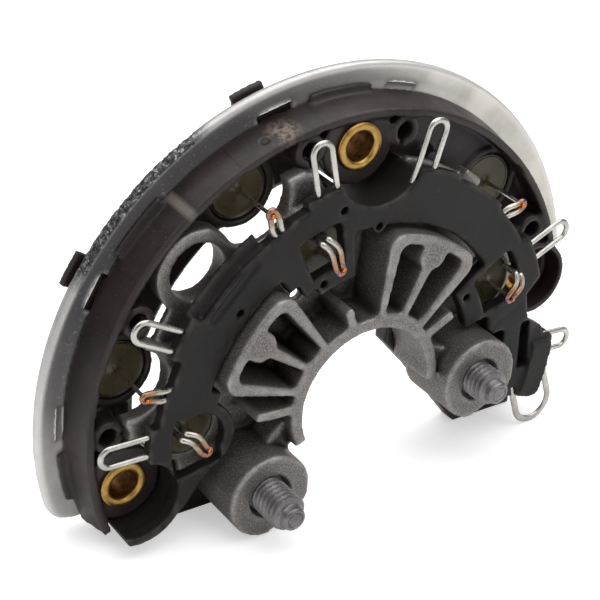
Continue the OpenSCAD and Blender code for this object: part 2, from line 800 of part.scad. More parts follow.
// Threaded stud as a plain cylinder with a short plain tip, on a short neck and a shank in the boss.
module stud(a, len) {
    taper = len - tip_len - chamfer;
    color([0.56, 0.54, 0.54])
        at(stud_row_r, a) translate([0, 0, boss_h]) {
            translate([0, 0, -shank_len]) cylinder(r = shank_r, h = shank_len - shank_drop, $fn = mid);
            translate([0, 0, -shank_drop - slack])
                cylinder(r = neck_r, h = shank_drop + neck_rise + 2 * slack, $fn = mid);
            translate([0, 0, neck_rise]) cylinder(r = stud_r, h = taper - neck_rise, $fn = mid);
            translate([0, 0, taper]) cylinder(r1 = stud_r, r2 = stud_r - chamfer, h = chamfer, $fn = mid);
            translate([0, 0, len - tip_len]) cylinder(r = tip_r, h = tip_len, $fn = mid);
        }
}

// Brass bushing: barrel through the stack with a flange in front.
module bushing(a, top) {
    color([0.72, 0.52, 0.2])
        at(bush_row_r, a) difference() {
            union() {
                translate([0, 0, -plate_back]) cylinder(r = bush_barrel_r, h = top + plate_back, $fn = mid);
                translate([0, 0, top - bush_flange_t])
                    cylinder(r = bush_flange_r, h = bush_flange_t, $fn = mid);
            }
            translate([0, 0, -5]) cylinder(r = bush_bore_r, h = 40, $fn = mid);
        }
}

// Diode can: a cup whose rim stands in front of its plate.
module can(r, a, top) {
    color([0.45, 0.42, 0.38])
        at(r, a) difference() {
            translate([0, 0, top - can_h]) cylinder(r = can_r, h = can_h, $fn = mid);
            translate([0, 0, top - can_cup]) cylinder(r = can_r - can_rim, h = 5, $fn = mid);
        }
}

module outer_can(i) {
    can(outer_row_r, outer_angles[i], can_top);
}

module inner_can(i) {
    can(inner_spots[i][0], inner_spots[i][1], inner_can_top);
}

// Fillings of all cans, pierced for the leads.
module diode_fillings() {
    color([0.36, 0.32, 0.22]) {
        for (a = outer_angles)
            filling(outer_row_r, a, can_top);
        for (s = inner_spots)
            filling(s[0], s[1], inner_can_top);
    }
}

module filling(r, a, top) {
    at(r, a) difference() {
        translate([0, 0, top - can_cup]) cylinder(r = can_r - can_rim, h = can_cup - fill_drop, $fn = mid);
        translate([0, 0, top - 5]) cylinder(r = lead_r, h = 20, $fn = low);
    }
}

// Leads of all diodes, standing along the ring axis.
module diode_leads() {
    color([0.7, 0.55, 0.45]) {
        for (a = outer_angles)
            at(outer_row_r, a) translate([0, 0, can_top - can_cup])
                cylinder(r = lead_r, h = low_lead_h - can_top + can_cup, $fn = low);
        for (s = inner_spots)
            at(s[0], s[1]) translate([0, 0, inner_can_top - can_cup])
                cylinder(r = lead_r, h = high_lead_h - inner_can_top + can_cup, $fn = low);
    }
}

place() negative_plate();
place() insulator_ring();
place() terminal_plate();
place() positive_casting();
place() stud(stud_angles[0], stud_left_len);  // stud_left
place() stud(stud_angles[1], stud_right_len);  // stud_right
place() bushing(bush_angles[2], bush_top);  // bushing_left
place() bushing(bush_angles[1], bush_top);  // bushing_top
place() bushing(bush_angles[0], right_bush_top);  // bushing_right
place() outer_can(2);  // can_outer_left
place() outer_can(1);  // can_outer_top
place() outer_can(0);  // can_outer_right
place() inner_can(2);  // can_inner_left
place() inner_can(1);  // can_inner_top
place() inner_can(0);  // can_inner_right
place() diode_fillings();
place() diode_leads();
place() stator_loop(0);  // stator_loop_1
place() stator_loop(1);  // stator_loop_2
place() stator_loop(2);  // stator_loop_3
place() stator_loop(3);  // stator_loop_4
place() stator_loop(4);  // stator_loop_5
place() end_loop();
place() lead_hook(0);  // lead_hook_1
place() lead_hook(1);  // lead_hook_2
place() lead_hook(2);  // lead_hook_3
place() lead_hook(3);  // lead_hook_4
place() lead_hook(4);  // lead_hook_5
place() lead_hook(5);  // lead_hook_6
place() eyelet_terminal();
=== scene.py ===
"""Looks of an alternator rectifier: castings, mouldings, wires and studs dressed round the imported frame."""
import math

import bmesh
import bpy
import numpy as np
from mathutils import Matrix, Vector

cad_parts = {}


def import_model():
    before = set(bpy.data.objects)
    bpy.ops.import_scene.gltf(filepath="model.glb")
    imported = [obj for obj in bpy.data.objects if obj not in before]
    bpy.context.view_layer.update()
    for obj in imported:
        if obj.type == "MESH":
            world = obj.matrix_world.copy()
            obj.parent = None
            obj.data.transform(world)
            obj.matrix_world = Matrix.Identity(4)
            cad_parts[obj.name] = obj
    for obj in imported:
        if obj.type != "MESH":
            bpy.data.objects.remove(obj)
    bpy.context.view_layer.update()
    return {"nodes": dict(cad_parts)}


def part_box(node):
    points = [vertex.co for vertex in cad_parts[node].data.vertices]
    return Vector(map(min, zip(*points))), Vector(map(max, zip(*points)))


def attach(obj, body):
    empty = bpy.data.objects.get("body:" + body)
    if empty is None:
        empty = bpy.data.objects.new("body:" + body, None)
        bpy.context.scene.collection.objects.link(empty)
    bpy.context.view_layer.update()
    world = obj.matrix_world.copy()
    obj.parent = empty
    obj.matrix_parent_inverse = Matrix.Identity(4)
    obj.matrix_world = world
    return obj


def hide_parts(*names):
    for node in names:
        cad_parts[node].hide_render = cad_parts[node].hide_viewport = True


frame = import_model()

MM = 0.001

# Driving sizes in millimetres, as in the frame
RIM_R = 66.0
PLATE_BACK = 1.2
STANCE_TURN = 4.0
TERM_H = 16.5
LOOP_H = 15.3
BOSS_H = 22.0
OUTER_ROW_R = 51.3
BUSH_ROW_R = 51.8
STUD_ROW_R = 28.4
OUTER_ANGLES = (36.9, 113.5, 161.6)
INNER_SPOTS = ((38.9, 15.8), (33.0, 101.0), (37.5, 177.0))
BUSH_ANGLES = {"bushing_right": 6.8, "bushing_top": 85.3, "bushing_left": 187.9}
BUSH_TOPS = {"bushing_right": 6.2, "bushing_top": 9.9, "bushing_left": 9.9}
STUD_ANGLES = {"stud_left": 208.2, "stud_right": 349.6}
STUD_LENGTHS = {"stud_left": 9.0, "stud_right": 6.5}
LOOP_ANGLES = (21.0, 70.8, 98.6, 147.6, 174.6)
LOOP_STARTS = (46.4, 45.6, 45.8, 46.0, 46.4)

# The ring's axis, read from the rear plate's box
plate_low, plate_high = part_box("negative_plate")
AXIS_X = plate_low.x / MM + RIM_R
AXIS_Z = plate_high.z / MM - RIM_R
ZERO_Y = plate_high.y / MM - PLATE_BACK


def ring(r, a, h):
    """Polar place on the ring (radius, angle, height to the front) in metres of the frame."""
    t = np.radians(np.asarray(a, float) + STANCE_TURN)
    r, h = np.asarray(r, float), np.asarray(h, float)
    return np.stack([AXIS_X + r * np.cos(t), ZERO_Y - h + 0 * t, AXIS_Z + r * np.sin(t)], -1) * MM


def flat(u, v, h):
    """Place by the ring's own right and up axes and the height to the front, in metres of the frame."""
    u, v, h = np.broadcast_arrays(np.asarray(u, float), np.asarray(v, float), np.asarray(h, float))
    c, s = math.cos(math.radians(STANCE_TURN)), math.sin(math.radians(STANCE_TURN))
    return np.stack([AXIS_X + u * c - v * s, ZERO_Y - h, AXIS_Z + u * s + v * c], -1) * MM


def polar(r, a):
    """Right and up coordinates of a polar place, in millimetres."""
    t = math.radians(a)
    return np.array([r * math.cos(t), r * math.sin(t)])


# Materials


def new_material(name):
    """Empty node material with a Principled shader, and its node tree's helpers."""
    m = bpy.data.materials.new(name)
    m.use_nodes = True
    tree = m.node_tree
    return m, tree, tree.nodes["Principled BSDF"]


def node(tree, kind, **values):
    """Adds a node and sets its properties and input defaults by name."""
    n = tree.nodes.new(kind)
    for key, value in values.items():
        if hasattr(n, key):
            setattr(n, key, value)
        else:
            n.inputs[key.replace("_", " ")].default_value = value
    return n


def noise(tree, scale, detail=3.0, rough=0.5, stretch=None, distortion=0.0):
    """Noise on Object coordinates, its scale in cycles per metre."""
    coords = node(tree, "ShaderNodeTexCoord")
    out = coords.outputs["Object"]
    if stretch is not None:
        mapping = node(tree, "ShaderNodeMapping")
        mapping.inputs["Scale"].default_value = stretch
        tree.links.new(out, mapping.inputs["Vector"])
        out = mapping.outputs[0]
    n = node(tree, "ShaderNodeTexNoise", Scale=scale, Detail=detail, Roughness=rough, Distortion=distortion)
    tree.links.new(out, n.inputs["Vector"])
    return n.outputs["Fac"]


def ramp(tree, source, stops):
    """Colour ramp over a value; stops are (position, colour) pairs."""
    n = node(tree, "ShaderNodeValToRGB")
    els = n.color_ramp.elements
    els[0].position, els[0].color = stops[0][0], (*stops[0][1], 1.0)
    els[1].position, els[1].color = stops[-1][0], (*stops[-1][1], 1.0)
    for at, col in stops[1:-1]:
        els.new(at).color = (*col, 1.0)
    tree.links.new(source, n.inputs["Fac"])
    return n.outputs["Color"]


def grey(v):
    """Grey colour of one value."""
    return (v, v, v)


def spread(tree, source, low, high, from_low=0.0, from_high=1.0):
    """Maps a value from one range to another, held at its ends."""
    n = node(tree, "ShaderNodeMapRange", From_Min=from_low, From_Max=from_high, To_Min=low, To_Max=high)
    tree.links.new(source, n.inputs["Value"])
    return n.outputs["Result"]


def math_node(tree, op, a, b=None):
    """Math node on values or numbers."""
    n = node(tree, "ShaderNodeMath", operation=op)
    for i, v in enumerate((a, b)):
        if v is None:
            continue
        if isinstance(v, (int, float)):
            n.inputs[i].default_value = v
        else:
            tree.links.new(v, n.inputs[i])
    return n.outputs[0]


def mix(tree, factor, a, b):
    """Mix of two colours, each a socket or a tuple."""
    n = node(tree, "ShaderNodeMix", data_type="RGBA")
    if isinstance(factor, (int, float)):
        n.inputs[0].default_value = factor
    else:
        tree.links.new(factor, n.inputs[0])
    for i, v in ((6, a), (7, b)):
        if isinstance(v, tuple):
            n.inputs[i].default_value = (*v, 1.0)
        else:
            tree.links.new(v, n.inputs[i])
    return n.outputs[2]


def bump(tree, shader, layers):
    """Chains bump layers (height socket, distance in metres, strength) into the shader's normal."""
    last = None
    for height, distance, strength in layers:
        n = node(tree, "ShaderNodeBump", Strength=strength, Distance=distance)
        tree.links.new(height, n.inputs["Height"])
        if last is not None:
            tree.links.new(last, n.inputs["Normal"])
        last = n.outputs["Normal"]
    tree.links.new(last, shader.inputs["Normal"])


def axis_radius(tree):
    """Distance from the ring's axis in metres, with the position's parts centred on that axis."""
    coords = node(tree, "ShaderNodeTexCoord")
    mapping = node(tree, "ShaderNodeMapping")
    mapping.inputs["Location"].default_value = (-AXIS_X * MM, -ZERO_Y * MM, -AXIS_Z * MM)
    tree.links.new(coords.outputs["Object"], mapping.inputs["Vector"])
    parts = node(tree, "ShaderNodeSeparateXYZ")
    tree.links.new(mapping.outputs[0], parts.inputs[0])
    x, y, z = parts.outputs
    length = math_node(tree, "SQRT", math_node(tree, "ADD", math_node(tree, "MULTIPLY", x, x), math_node(tree, "MULTIPLY", z, z)))
    return length, x, y, z


def shade_and_highlight_mask(tree, low, high):
    """Edge attribute mapped between two levels, 0 in hollows and 1 on outer edges: the mask for painted shade in
    hollows and painted highlights on edges.
    """
    return spread(tree, node(tree, "ShaderNodeAttribute", attribute_name="edge").outputs["Fac"], 0.0, 1.0, low, high)


def turn_angle(tree):
    """Turn about the ring's axis as a share of a circle, 0.5 at the top and less towards the right."""
    length, x, y, z = axis_radius(tree)
    angle = math_node(tree, "ARCTAN2", math_node(tree, "MULTIPLY", x, -1.0), z)
    return spread(tree, angle, 0.0, 1.0, -math.pi, math.pi), length, y


def at_turn(degrees):
    """Share of the circle at a polar angle of the ring."""
    return 0.5 + (degrees + STANCE_TURN - 90.0) / 360.0


def between(tree, source, low, high, soft):
    """Mask that is 1 between two values, with soft ends."""
    rise = spread(tree, source, 0.0, 1.0, low - soft, low + soft)
    fall = spread(tree, source, 1.0, 0.0, high - soft, high + soft)
    return math_node(tree, "MULTIPLY", rise, fall)


def blasted_aluminium():
    """Shot blasted casting: warm grey with a fine grain, painted shade in the hollows and painted highlights on the
    outer edges, broken by noise.
    """
    m, t, s = new_material("blasted_aluminium")
    s.inputs["Metallic"].default_value = 0.7
    s.inputs["Specular IOR Level"].default_value = 0.4
    grain = noise(t, 3700, 3, 0.6)
    pits = noise(t, 1500, 2, 0.5)
    cloud = noise(t, 90, 4, 0.55)
    base = ramp(t, cloud, [(0.3, (0.115, 0.102, 0.096)), (0.7, (0.165, 0.15, 0.142))])
    specks = ramp(t, grain, [(0.44, grey(0.0)), (0.68, grey(0.8))])
    speckled = mix(t, specks, base, (0.42, 0.4, 0.385))
    # Painted shade: the hollows are darkened by the edge attribute.
    hollow_shade = mix(t, shade_and_highlight_mask(t, 0.28, 0.5), (0.05, 0.044, 0.041), speckled)
    # Painted highlight: the outer edges are paler, broken by noise.
    edge_highlight = math_node(t, "MULTIPLY", shade_and_highlight_mask(t, 0.57, 0.9), spread(t, noise(t, 500, 3), 0.25, 0.75, 0.35, 0.65))
    edge = mix(t, edge_highlight, hollow_shade, (0.5, 0.48, 0.465))
    t.links.new(edge, s.inputs["Base Color"])
    t.links.new(spread(t, grain, 0.52, 0.4, 0.35, 0.65), s.inputs["Roughness"])
    bump(t, s, [(pits, 0.00012, 0.35), (grain, 0.00008, 0.45)])
    return m


def turned_aluminium():
    """Rear plate: satin rings about the axis, a painted reflection that is pale at both ends and dark grey at the upper
    left, random dark clouds and pale flecks, a rough cast edge and painted highlights on the outer edges.
    """
    m, t, s = new_material("turned_aluminium")
    turn, length, y = turn_angle(t)
    s.inputs["Metallic"].default_value = 0.55
    s.inputs["Specular IOR Level"].default_value = 0.4
    cloud = noise(t, 75, 4, 0.62)
    wander = math_node(t, "ADD", turn, spread(t, noise(t, 40, 3), -0.03, 0.03, 0.3, 0.7))
    # Painted reflection: tone set by the turn about the axis, pale beige at the right, dark grey at the upper left,
    # whitish again at the left.
    tone = ramp(t, wander, [(at_turn(5), (0.8, 0.765, 0.69)), (at_turn(62), (0.8, 0.77, 0.71)), (at_turn(86), (0.5, 0.485, 0.465)),
                            (at_turn(112), (0.2, 0.195, 0.2)), (at_turn(150), (0.18, 0.175, 0.185)), (at_turn(166), (0.33, 0.32, 0.32)),
                            (at_turn(188), (0.76, 0.74, 0.71))])
    # Random dark clouds laid over the painted reflection.
    reflection_and_cloud = mix(t, spread(t, cloud, 0.0, 0.35, 0.4, 0.75), tone, (0.12, 0.115, 0.12))
    flecks = ramp(t, noise(t, 1500, 3, 0.7), [(0.6, grey(0.0)), (0.7, grey(0.5))])
    flecked = mix(t, flecks, reflection_and_cloud, (0.72, 0.71, 0.69))
    rough = math_node(t, "MULTIPLY", between(t, turn, at_turn(114), at_turn(146), 0.006), spread(t, length, 0.0, 1.0, 0.0645, 0.065))
    scale = ramp(t, noise(t, 1300, 4, 0.75), [(0.42, grey(0.03)), (0.56, grey(0.12)), (0.66, grey(0.6))])
    # Painted highlight: the outer edges are paler.
    edge_highlit = mix(t, math_node(t, "MULTIPLY", shade_and_highlight_mask(t, 0.56, 0.72), 0.5), flecked, (0.86, 0.85, 0.83))
    t.links.new(mix(t, rough, edge_highlit, scale), s.inputs["Base Color"])
    rings = node(t, "ShaderNodeTexNoise", noise_dimensions="1D", Scale=5200, Detail=2)
    t.links.new(length, rings.inputs["W"])
    t.links.new(spread(t, cloud, 0.3, 0.46, 0.3, 0.7), s.inputs["Roughness"])
    bump(t, s, [(rings.outputs["Fac"], 0.00002, 0.25), (noise(t, 900, 3), 0.00003, 0.2)])
    return m


def smoked_plastic():
    """Insulator wall: brown black with a satin sheen, pale dust, a painted reflection stripe, two mould lines, a gate
    mark with a dull patch and painted highlights on the edges.
    """
    m, t, s = new_material("smoked_plastic")
    turn, length, y = turn_angle(t)
    s.inputs["Specular IOR Level"].default_value = 0.32
    base = ramp(t, noise(t, 45, 5, 0.65), [(0.32, (0.015, 0.0096, 0.0102)), (0.55, (0.027, 0.0178, 0.0184)), (0.75, (0.048, 0.034, 0.034))])
    outside = spread(t, length, 0.0, 1.0, 0.0576, 0.0584)
    # Painted reflection: a pale stripe across the outside of the wall, as from a strip light.
    reflection_stripe = math_node(t, "MULTIPLY", between(t, turn, at_turn(124.1), at_turn(125.9), 0.0012), outside)
    reflection_striped = mix(t, math_node(t, "MULTIPLY", reflection_stripe, 0.75), base, (0.17, 0.145, 0.13))
    coords = node(t, "ShaderNodeTexCoord")
    gate = node(t, "ShaderNodeVectorMath", operation="DISTANCE")
    gate.inputs[1].default_value = ring(59.5, 105.5, 6.8)
    t.links.new(coords.outputs["Object"], gate.inputs[0])
    spot = gate.outputs["Value"]
    patch = node(t, "ShaderNodeVectorMath", operation="DISTANCE")
    patch.inputs[1].default_value = ring(59.4, 101.6, 7.2)
    t.links.new(coords.outputs["Object"], patch.inputs[0])
    dull = math_node(t, "MULTIPLY", spread(t, patch.outputs["Value"], 1.0, 0.0, 0.0015, 0.0042),
                     spread(t, noise(t, 800, 4, 0.7), 0.0, 1.0, 0.42, 0.6))
    patched = mix(t, math_node(t, "MULTIPLY", dull, 0.8), reflection_striped, (0.24, 0.19, 0.14))
    collar = between(t, spot, 0.0008, 0.0012, 0.0002)
    marked = mix(t, spread(t, spot, 1.0, 0.0, 0.0009, 0.0012), mix(t, collar, patched, (0.09, 0.07, 0.06)), (0.012, 0.009, 0.008))
    lines = math_node(t, "MAXIMUM", between(t, turn, at_turn(112.2), at_turn(112.5), 0.0003), between(t, turn, at_turn(93.8), at_turn(94.1), 0.0003))
    lined = mix(t, math_node(t, "MULTIPLY", math_node(t, "MULTIPLY", lines, outside), 0.8), marked, (0.005, 0.0035, 0.0035))
    dust = ramp(t, noise(t, 2600, 2, 0.5), [(0.68, grey(0.0)), (0.76, grey(0.5))])
    dusty = mix(t, math_node(t, "MULTIPLY", dust, outside), lined, (0.2, 0.18, 0.17))
    # Painted highlight: the edges are made paler by the edge attribute.
    t.links.new(mix(t, math_node(t, "MULTIPLY", shade_and_highlight_mask(t, 0.6, 0.95), 0.35), dusty, (0.1, 0.085, 0.08)), s.inputs["Base Color"])
    t.links.new(spread(t, noise(t, 160, 4, 0.6), 0.28, 0.46, 0.3, 0.7), s.inputs["Roughness"])
    bump(t, s, [(noise(t, 1500, 3, 0.6), 0.00002, 0.4), (noise(t, 110, 2), 0.00015, 0.3), (spread(t, spot, 0.0, 1.0, 0.0007, 0.0013), 0.0004, 0.6)])
    return m


def moulded_plastic(name, dark, light, rough, grain_scale, grain_depth, haze=40, gloss=0.5, edge=0.0):
    """Moulded plastic with a cloudy tone, a fine grain, slightly uneven gloss and, where edge is set, pale dust and
    painted highlights on the outer edges.
    """
    m, t, s = new_material(name)
    s.inputs["Specular IOR Level"].default_value = gloss
    cloud = noise(t, haze, 4, 0.6)
    tone = ramp(t, cloud, [(0.3, dark), (0.72, light)])
    if edge:
        dust = ramp(t, noise(t, 2800, 2, 0.5), [(0.66, grey(0.0)), (0.76, grey(0.3))])
        tone = mix(t, dust, tone, (0.12, 0.11, 0.1))
        # Painted highlight: the outer edges are paler, broken by noise.
        edge_highlight = math_node(t, "MULTIPLY", shade_and_highlight_mask(t, 0.6, 0.95), spread(t, noise(t, 350, 3), 0.0, edge, 0.4, 0.65))
        tone = mix(t, edge_highlight, tone, (0.11, 0.1, 0.095))
    t.links.new(tone, s.inputs["Base Color"])
    t.links.new(spread(t, noise(t, 160, 4, 0.6), rough - 0.08, rough + 0.1, 0.3, 0.7), s.inputs["Roughness"])
    bump(t, s, [(noise(t, grain_scale, 3, 0.6), grain_depth, 0.4), (noise(t, 110, 2), 0.00012, 0.25)])
    return m


def plain_metal(name, dark, light, rough, scratch=1400, depth=0.00002, metallic=1.0):
    """Metal with a cloudy tone and fine marks."""
    m, t, s = new_material(name)
    s.inputs["Metallic"].default_value = metallic
    t.links.new(ramp(t, noise(t, 320, 3, 0.6), [(0.3, dark), (0.7, light)]), s.inputs["Base Color"])
    t.links.new(spread(t, noise(t, scratch, 3), rough - 0.06, rough + 0.1, 0.3, 0.7), s.inputs["Roughness"])
    bump(t, s, [(noise(t, scratch, 3), depth, 0.4)])
    return m


def heated_wire():
    """Tinned wire whose welded end is tinted copper and blue; the tint follows the piece's weld_tint attribute."""
    m, t, s = new_material("heated_wire")
    s.inputs["Metallic"].default_value = 1.0
    heat = node(t, "ShaderNodeAttribute", attribute_name="weld_tint").outputs["Fac"]
    wander = math_node(t, "ADD", heat, spread(t, noise(t, 900, 2), -0.16, 0.16, 0.3, 0.7))
    tint = ramp(t, wander, [(0.0, (0.6, 0.58, 0.53)), (0.25, (0.52, 0.46, 0.38)), (0.45, (0.4, 0.27, 0.18)),
                            (0.74, (0.4, 0.2, 0.12)), (0.8, (0.1, 0.11, 0.3)), (0.86, (0.12, 0.11, 0.28)), (0.92, (0.42, 0.2, 0.1)), (1.0, (0.85, 0.25, 0.05))])
    t.links.new(tint, s.inputs["Base Color"])
    t.links.new(spread(t, noise(t, 1500, 3), 0.2, 0.42, 0.3, 0.7), s.inputs["Roughness"])
    bump(t, s, [(noise(t, 1100, 3), 0.00002, 0.3)])
    return m


def worn_brass():
    """Turned brass with fine marks; the bore attribute paints shade inside the bore as dark brown."""
    m, t, s = new_material("brass")
    s.inputs["Metallic"].default_value = 1.0
    tone = ramp(t, noise(t, 700, 3, 0.6), [(0.3, (0.36, 0.2, 0.05)), (0.7, (0.58, 0.37, 0.12))])
    bore = node(t, "ShaderNodeAttribute", attribute_name="bore_shade_mask").outputs["Fac"]
    # Painted shade: dark brown inside the bore.
    inner = ramp(t, noise(t, 900, 3, 0.6), [(0.35, (0.12, 0.055, 0.016)), (0.65, (0.34, 0.18, 0.055))])
    t.links.new(mix(t, bore, tone, inner), s.inputs["Base Color"])
    t.links.new(spread(t, bore, 0.3, 0.5), s.inputs["Roughness"])
    bump(t, s, [(noise(t, 1500, 3), 0.00001, 0.4)])
    return m


MATERIALS = {
    "positive_casting": blasted_aluminium(),
    "negative_plate": turned_aluminium(),
    "insulator_ring": smoked_plastic(),
    "terminal_plate": moulded_plastic("charcoal_plastic", (0.0098, 0.0085, 0.0082), (0.0165, 0.0148, 0.0143), 0.44, 2200, 0.00003, gloss=0.25, edge=0.6),
    "stud": plain_metal("stud_steel", (0.17, 0.162, 0.165), (0.3, 0.29, 0.29), 0.36, 2400, 0.00004, metallic=0.85),
    "brass": worn_brass(),
    "can": plain_metal("can_metal", (0.06, 0.055, 0.05), (0.14, 0.125, 0.11), 0.38),
    "filling": moulded_plastic("filling", (0.07, 0.056, 0.026), (0.115, 0.095, 0.046), 0.3, 900, 0.00001, haze=160),
    "tinned": plain_metal("tinned_wire", (0.48, 0.465, 0.43), (0.68, 0.66, 0.62), 0.26, 900, 0.00003),
    "heated": heated_wire(),
    "burr": plain_metal("burr", (0.6, 0.59, 0.57), (0.85, 0.84, 0.82), 0.4, 1800, 0.00002, metallic=0.3),
}


def dress(obj, key):
    """Gives an object one material in all its slots."""
    obj.data.materials.clear()
    obj.data.materials.append(MATERIALS[key])


# Meshes


def make_piece(name, verts, faces, key, replaced=(), smooth=35.0):
    """New piece from arrays of corners (metres) and faces, riding on the root body."""
    mesh = bpy.data.meshes.new(name)
    mesh.from_pydata([tuple(v) for v in np.asarray(verts, float)], [], [tuple(int(i) for i in f) for f in faces])
    mesh.validate()
    bm = bmesh.new()
    bm.from_mesh(mesh)
    bmesh.ops.remove_doubles(bm, verts=bm.verts, dist=1e-7)
    bmesh.ops.recalc_face_normals(bm, faces=bm.faces)
    bm.to_mesh(mesh)
    bm.free()
    obj = bpy.data.objects.new(name, mesh)
    bpy.context.scene.collection.objects.link(obj)
    mesh.shade_smooth()
    mesh.set_sharp_from_angle(angle=math.radians(smooth))
    dress(obj, key)
    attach(obj, "root")
    if replaced:
        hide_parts(*replaced)
    return obj


def grid_faces(rows, cols, closed_cols=True, first=0):
    """Quads between the rows of a grid of points, row by row, with the columns joined round."""
    i = np.arange(rows - 1)[:, None]
    j = np.arange(cols if closed_cols else cols - 1)[None, :]
    k = (j + 1) % cols
    quads = np.stack(np.broadcast_arrays(i * cols + j, i * cols + k, (i + 1) * cols + k, (i + 1) * cols + j), -1)
    return (quads.reshape(-1, 4) + first).tolist()


def capped_grid(points, closed_rows=False):
    """Corners and faces of a tube of rings: points is (rings, sides, 3), with fan caps at both ends."""
    rows, cols = points.shape[:2]
    verts = points.reshape(-1, 3)
    faces = grid_faces(rows, cols)
    if closed_rows:
        last = (rows - 1) * cols
        faces += [(last + j, last + (j + 1) % cols, (j + 1) % cols, j) for j in range(cols)]
        return verts, faces
    faces.append(tuple(range(cols))[::-1])
    faces.append(tuple(range((rows - 1) * cols, rows * cols)))
    return verts, faces


def turned(centre, profile, sides=96):
    """Revolves a closed profile of (radius, height) about a line along the ring's axis through centre."""
    t = np.linspace(0, 2 * math.pi, sides, endpoint=False)
    prof = np.asarray(profile, float)
    u = centre[0] + prof[:, :1] * np.cos(t)[None]
    v = centre[1] + prof[:, :1] * np.sin(t)[None]
    h = np.broadcast_to(prof[:, 1:], u.shape)
    pts = flat(u, v, h)
    return capped_grid(pts, closed_rows=True)


def round_path(points, radius_steps=10, bend=1.0):
    """Path through corner points whose corners are rounded by quadratic arcs of about the given bend (mm)."""
    points = np.asarray(points, float)
    pts = points[np.r_[True, np.linalg.norm(np.diff(points, axis=0), axis=1) > 1e-6]]
    out = [pts[0]]
    for a, b, c in zip(pts, pts[1:], pts[2:]):
        la, lc = np.linalg.norm(a - b), np.linalg.norm(c - b)
        k = min(bend, la * 0.49, lc * 0.49)
        p, q = b + (a - b) / la * k, b + (c - b) / lc * k
        s = np.linspace(0, 1, radius_steps)[:, None]
        out += list((1 - s) ** 2 * p + 2 * s * (1 - s) * b + s ** 2 * q)
    out.append(pts[-1])
    return np.array(out)


def sweep(path, wide, thick, sides=14, up=(0.0, 0.0, 1.0)):
    """Tube of elliptic section along a path in (right, up, height) millimetres; wide lies across, thick along up."""
    path = np.asarray(path, float)
    keep = np.r_[True, np.linalg.norm(np.diff(path, axis=0), axis=1) > 1e-5]
    path = path[keep]
    tang = np.gradient(path, axis=0)
    tang /= np.linalg.norm(tang, axis=1, keepdims=True)
    up = np.broadcast_to(np.asarray(up, float), path.shape).copy()
    side = np.cross(up, tang)
    weak = np.linalg.norm(side, axis=1) < 0.2
    if weak.any():
        alt = side.copy()
        good = np.where(~weak)[0]
        for i in np.where(weak)[0]:
            alt[i] = side[good[np.abs(good - i).argmin()]] if len(good) else (1.0, 0.0, 0.0)
        side = alt
    side /= np.linalg.norm(side, axis=1, keepdims=True)
    norm = np.cross(tang, side)
    norm /= np.linalg.norm(norm, axis=1, keepdims=True)
    t = np.linspace(0, 2 * math.pi, sides, endpoint=False)
    wide = np.broadcast_to(np.asarray(wide, float), (len(path),))[:, None, None]
    thick = np.broadcast_to(np.asarray(thick, float), (len(path),))[:, None, None]
    ringp = path[:, None] + wide * np.cos(t)[None, :, None] * side[:, None] + thick * np.sin(t)[None, :, None] * norm[:, None]
    return capped_grid(flat(ringp[..., 0], ringp[..., 1], ringp[..., 2])), len(path)


def join(parts):
    """Joins several (corners, faces) into one."""
    verts, faces, n = [], [], 0
    for v, f in parts:
        verts.append(v)
        faces += [tuple(int(i) + n for i in q) for q in f]
        n += len(v)
    return np.vstack(verts), faces


def read_mesh(mesh):
    """Corner places, vertex normals and edge ends of a mesh as arrays."""
    co = np.empty(len(mesh.vertices) * 3)
    mesh.vertices.foreach_get("co", co)
    nor = np.empty(len(mesh.vertices) * 3)
    mesh.vertex_normals.foreach_get("vector", nor)
    ends = np.empty(len(mesh.edges) * 2, np.int32)
    mesh.edges.foreach_get("vertices", ends)
    return co.reshape(-1, 3), nor.reshape(-1, 3), ends.reshape(-1, 2)


def store(mesh, name, values):
    """Stores one value per corner of the mesh under a name."""
    layer = mesh.attributes.new(name, "FLOAT", "POINT")
    layer.data.foreach_set("value", np.asarray(values, np.float32))


def mark_edges(mesh, voxel, rounds=7, gain=0.55):
    """Edge attribute: how far each corner stands out from the mean of its surroundings, 0.5 where the surface is flat."""
    co, nor, ends = read_mesh(mesh)
    a, b = np.r_[ends[:, 0], ends[:, 1]], np.r_[ends[:, 1], ends[:, 0]]
    count = np.bincount(a, minlength=len(co))[:, None]
    mean = co.copy()
    for _ in range(rounds):
        mean = np.stack([np.bincount(a, mean[b, k], len(co)) for k in range(3)], -1) / count
    out = ((co - mean) * nor).sum(1) / (voxel * MM)
    out = np.bincount(a, out[b], len(co)) / count[:, 0]
    store(mesh, "edge", np.clip(0.5 + gain * out, 0, 1))


def softened(name, voxel, rounds, factor=0.5, smooth=60.0):
    """Copy of a node's solid, remeshed on a fine grid and relaxed, so that all its edges are rounded."""
    source = frame["nodes"][name]
    obj = source.copy()
    obj.data = source.data.copy()
    obj.name = name + "_skin"
    for key in list(obj.keys()):
        del obj[key]
    obj.parent = None
    obj.matrix_world = Matrix.Identity(4)
    bpy.context.scene.collection.objects.link(obj)
    bm = bmesh.new()
    bm.from_mesh(obj.data)
    bmesh.ops.remove_doubles(bm, verts=bm.verts, dist=1e-6)
    bm.to_mesh(obj.data)
    bm.free()
    grid = obj.modifiers.new("grid", "REMESH")
    grid.mode = "VOXEL"
    grid.voxel_size = voxel * MM
    relax = obj.modifiers.new("relax", "SMOOTH")
    relax.iterations = rounds
    relax.factor = factor
    depsgraph = bpy.context.evaluated_depsgraph_get()
    mesh = bpy.data.meshes.new_from_object(obj.evaluated_get(depsgraph))
    obj.modifiers.clear()
    obj.data = mesh
    mesh.shade_smooth()
    mark_edges(mesh, voxel)
    dress(obj, name)
    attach(obj, "root")
    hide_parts(name)
    return obj


